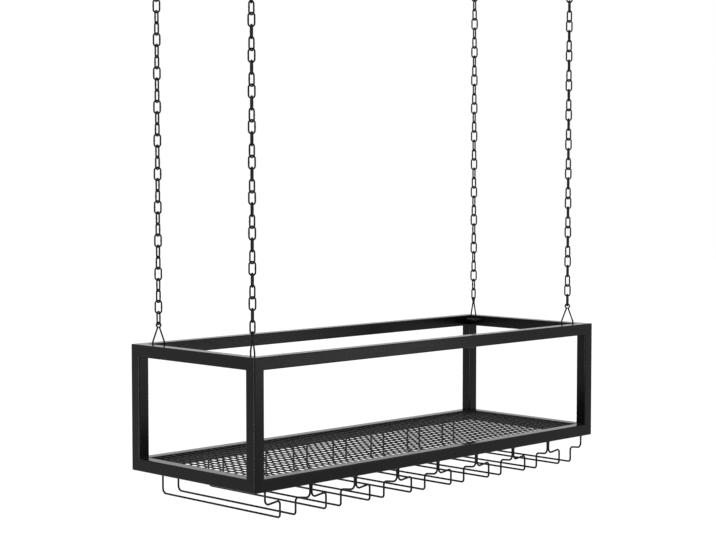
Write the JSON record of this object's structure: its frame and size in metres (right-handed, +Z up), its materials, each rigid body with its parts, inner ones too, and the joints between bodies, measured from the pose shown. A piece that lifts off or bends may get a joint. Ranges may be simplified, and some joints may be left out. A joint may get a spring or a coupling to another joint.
{
  "type": "hanging wine glass rack",
  "caption": "Black steel ceiling rack for stemware and bottles: an open square-tube frame with a wire mesh shelf and wire glass hangers, held by chains.",
  "frame": {"origin": "the middle of the four screw hooks at the ceiling plane", "axes": "+X along the long rails to the right, +Y to the back, +Z up; the corner nearest the camera in the picture is front left, at -X -Y"},
  "size_m": [0.914, 0.331, 1.0161],
  "materials": {
    "frame_tube": "satin",
    "shelf_wire": "satin",
    "hanger_wire": "satin",
    "bail_wire": "satin",
    "chain": "satin",
    "ceiling_hook": "satin"
  },
  "bodies": {
    "ceiling": {"ceiling_hook_front_left": "ceiling_hook", "ceiling_hook_front_right": "ceiling_hook", "ceiling_hook_back_left": "ceiling_hook", "ceiling_hook_back_right": "ceiling_hook"},
    "front_left_top_link": {"top_link_front_left": "chain"},
    "front_left_chain": {"chain_front_left": "chain"},
    "front_left_bottom_link": {"bottom_link_front_left": "chain"},
    "front_right_top_link": {"top_link_front_right": "chain"},
    "front_right_chain": {"chain_front_right": "chain"},
    "front_right_bottom_link": {"bottom_link_front_right": "chain"},
    "back_left_top_link": {"top_link_back_left": "chain"},
    "back_left_chain": {"chain_back_left": "chain"},
    "back_left_bottom_link": {"bottom_link_back_left": "chain"},
    "back_right_top_link": {"top_link_back_right": "chain"},
    "back_right_chain": {"chain_back_right": "chain"},
    "back_right_bottom_link": {"bottom_link_back_right": "chain"},
    "rack": {"rail_top_front": "frame_tube", "rail_top_back": "frame_tube", "rail_top_left": "frame_tube", "rail_top_right": "frame_tube", "rail_bottom_front": "frame_tube", "rail_bottom_back": "frame_tube", "rail_bottom_left": "frame_tube", "rail_bottom_right": "frame_tube", "post_front_left": "frame_tube", "post_front_right": "frame_tube", "post_back_left": "frame_tube", "post_back_right": "frame_tube", "shelf_wires_cross": "shelf_wire", "shelf_wires_long": "shelf_wire", "hanger_1_left": "hanger_wire", "hanger_1_right": "hanger_wire", "hanger_2_left": "hanger_wire", "hanger_2_right": "hanger_wire", "hanger_3_left": "hanger_wire", "hanger_3_right": "hanger_wire", "hanger_4_left": "hanger_wire", "hanger_4_right": "hanger_wire", "hanger_5_left": "hanger_wire", "hanger_5_right": "hanger_wire", "hanger_6_left": "hanger_wire", "hanger_6_right": "hanger_wire", "hanger_7_left": "hanger_wire", "hanger_7_right": "hanger_wire", "hanger_8_left": "hanger_wire", "hanger_8_right": "hanger_wire", "gusset_front_left": "frame_tube", "gusset_front_right": "frame_tube", "gusset_back_left": "frame_tube", "gusset_back_right": "frame_tube", "bail_front_left": "bail_wire", "bail_front_right": "bail_wire", "bail_back_left": "bail_wire", "bail_back_right": "bail_wire"}
  },
  "joints": [
    {"name": "swing_across_front_left", "type": "hinge", "parent": "ceiling", "child": "front_left_top_link", "pos_m": [-0.4257, -0.126, -0.0238], "axis": [1, 0, 0], "range_deg": [-8, 8]},
    {"name": "swing_along_front_left", "type": "hinge", "parent": "front_left_top_link", "child": "front_left_chain", "pos_m": [-0.4257, -0.126, -0.0435], "axis": [0, 1, 0], "range_deg": [-8, 8]},
    {"name": "level_along_front_left", "type": "hinge", "parent": "front_left_chain", "child": "front_left_bottom_link", "pos_m": [-0.4257, -0.126, -0.6542], "axis": [0, 1, 0], "range_deg": [-8, 8]},
    {"name": "swing_across_front_right", "type": "hinge", "parent": "ceiling", "child": "front_right_top_link", "pos_m": [0.4257, -0.126, -0.0238], "axis": [1, 0, 0], "range_deg": [-8, 8]},
    {"name": "swing_along_front_right", "type": "hinge", "parent": "front_right_top_link", "child": "front_right_chain", "pos_m": [0.4257, -0.126, -0.0435], "axis": [0, 1, 0], "range_deg": [-8, 8]},
    {"name": "level_along_front_right", "type": "hinge", "parent": "front_right_chain", "child": "front_right_bottom_link", "pos_m": [0.4257, -0.126, -0.6542], "axis": [0, 1, 0], "range_deg": [-8, 8]},
    {"name": "swing_across_back_left", "type": "hinge", "parent": "ceiling", "child": "back_left_top_link", "pos_m": [-0.4257, 0.126, -0.0238], "axis": [1, 0, 0], "range_deg": [-8, 8]},
    {"name": "swing_along_back_left", "type": "hinge", "parent": "back_left_top_link", "child": "back_left_chain", "pos_m": [-0.4257, 0.126, -0.0435], "axis": [0, 1, 0], "range_deg": [-8, 8]},
    {"name": "level_along_back_left", "type": "hinge", "parent": "back_left_chain", "child": "back_left_bottom_link", "pos_m": [-0.4257, 0.126, -0.6542], "axis": [0, 1, 0], "range_deg": [-8, 8]},
    {"name": "swing_across_back_right", "type": "hinge", "parent": "ceiling", "child": "back_right_top_link", "pos_m": [0.4257, 0.126, -0.0238], "axis": [1, 0, 0], "range_deg": [-8, 8]},
    {"name": "swing_along_back_right", "type": "hinge", "parent": "back_right_top_link", "child": "back_right_chain", "pos_m": [0.4257, 0.126, -0.0435], "axis": [0, 1, 0], "range_deg": [-8, 8]},
    {"name": "level_along_back_right", "type": "hinge", "parent": "back_right_chain", "child": "back_right_bottom_link", "pos_m": [0.4257, 0.126, -0.6542], "axis": [0, 1, 0], "range_deg": [-8, 8]},
    {"name": "level_across", "type": "hinge", "parent": "front_left_bottom_link", "child": "rack", "pos_m": [-0.4257, -0.126, -0.6738], "axis": [1, 0, 0], "range_deg": [-8, 8]}
  ],
  "couplings": [
    {"joint": "level_along_front_left", "follows": "swing_along_front_left", "ratio": -1},
    {"joint": "swing_across_front_right", "follows": "swing_across_front_left", "ratio": 1},
    {"joint": "swing_along_front_right", "follows": "swing_along_front_left", "ratio": 1},
    {"joint": "level_along_front_right", "follows": "swing_along_front_left", "ratio": -1},
    {"joint": "swing_across_back_left", "follows": "swing_across_front_left", "ratio": 1},
    {"joint": "swing_along_back_left", "follows": "swing_along_front_left", "ratio": 1},
    {"joint": "level_along_back_left", "follows": "swing_along_front_left", "ratio": -1},
    {"joint": "swing_across_back_right", "follows": "swing_across_front_left", "ratio": 1},
    {"joint": "swing_along_back_right", "follows": "swing_along_front_left", "ratio": 1},
    {"joint": "level_along_back_right", "follows": "swing_along_front_left", "ratio": -1},
    {"joint": "level_across", "follows": "swing_across_front_left", "ratio": -1}
  ]
}
